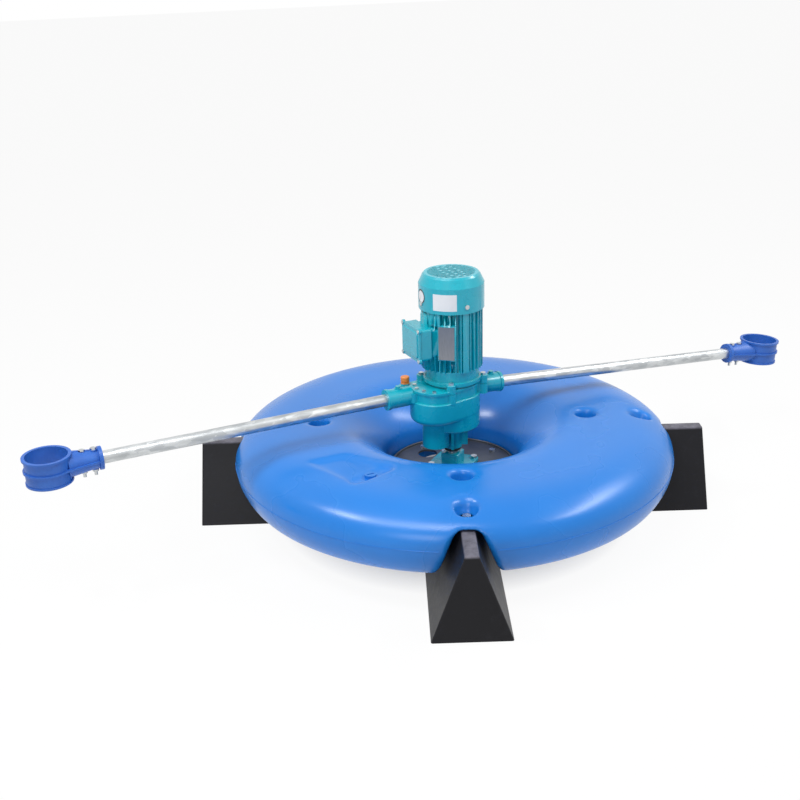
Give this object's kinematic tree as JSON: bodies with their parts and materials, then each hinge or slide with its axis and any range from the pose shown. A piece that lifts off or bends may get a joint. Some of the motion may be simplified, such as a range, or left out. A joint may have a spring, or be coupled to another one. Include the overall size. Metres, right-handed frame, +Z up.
{
  "type": "surge aerator",
  "caption": "Floating ring with wedge blades under it, turned by a vertical geared motor that two stake-guided tube arms hold.",
  "frame": {"origin": "on the rotor axis, at the floor under the blades' feet", "axes": "+Z up along the rotor axis, +X along the arm on the side away from the terminal box"},
  "size_m": [2.266, 1.3536, 0.676],
  "materials": {
    "float_blue": "satin moulded polyethylene",
    "blade_black": "satin moulded polyethylene",
    "teal_paint": "glossy enamel",
    "bracket_blue": "satin moulded nylon",
    "galvanised": "galvanised",
    "zinc": "bright zinc plate",
    "plate_steel": "dark machined",
    "gear_steel": "machined",
    "winding_copper": "varnished wire",
    "breather_orange": "moulded",
    "seal_rubber": "matt",
    "black_plastic": "moulded"
  },
  "bodies": {
    "drive_unit": {"gear_case": "teal_paint", "case_cover": "teal_paint", "case_gasket": "seal_rubber", "case_bolts": "zinc", "breather": "breather_orange", "drain_plug": "teal_paint", "output_bush": "gear_steel", "output_bearing": "gear_steel", "lay_bearing_lower": "gear_steel", "lay_bearing_upper": "gear_steel", "output_seal": "seal_rubber", "arm_right": "galvanised", "arm_left": "galvanised", "bracket_right": "bracket_blue", "bracket_left": "bracket_blue", "bracket_bolts": "zinc", "bracket_nuts": "zinc", "socket_screws": "teal_paint", "drive_shield": "teal_paint", "flange_bolts": "zinc", "motor_frame": "teal_paint", "stator_core": "gear_steel", "stator_winding": "winding_copper", "rear_shield": "teal_paint", "motor_bearing_lower": "gear_steel", "motor_bearing_upper": "gear_steel", "fan_cover": "teal_paint", "cover_screws": "zinc", "terminal_box": "teal_paint", "terminal_gasket": "seal_rubber", "terminal_lid": "teal_paint", "lid_screws": "zinc", "terminal_block": "black_plastic", "cable_gland": "black_plastic"},
    "floating_impeller": {"float_ring": "float_blue", "float_flange": "float_blue", "float_bung": "float_blue", "blade_right": "blade_black", "blade_back": "blade_black", "blade_left": "blade_black", "blade_front": "blade_black", "blade_bolts": "zinc", "centre_plate": "plate_steel", "plate_bolts": "zinc", "plate_nuts": "zinc", "hub": "teal_paint", "hub_bolts": "zinc", "hub_nuts": "zinc", "hub_key": "gear_steel", "output_shaft": "gear_steel", "shaft_retainer": "zinc", "output_gear": "gear_steel"},
    "layshaft": {"lay_shaft": "gear_steel", "lay_gear": "gear_steel"},
    "motor_rotor": {"motor_shaft": "gear_steel", "rotor_core": "gear_steel", "drive_pinion": "gear_steel", "cooling_fan": "black_plastic"}
  },
  "joints": [
    {"name": "impeller_spin", "type": "hinge", "parent": "drive_unit", "child": "floating_impeller", "pos_m": [0, 0, 0.25], "axis": [0, 0, 1], "continuous": true},
    {"name": "lay_shaft_spin", "type": "hinge", "parent": "drive_unit", "child": "layshaft", "pos_m": [-0.0596, -0.01709, 0.28], "axis": [0, 0, 1], "continuous": true},
    {"name": "motor_spin", "type": "hinge", "parent": "drive_unit", "child": "motor_rotor", "pos_m": [0, 0, 0.5], "axis": [0, 0, 1], "continuous": true}
  ],
  "couplings": [
    {"joint": "lay_shaft_spin", "follows": "impeller_spin", "ratio": -4.6364},
    {"joint": "motor_spin", "follows": "impeller_spin", "ratio": 19.318}
  ]
}
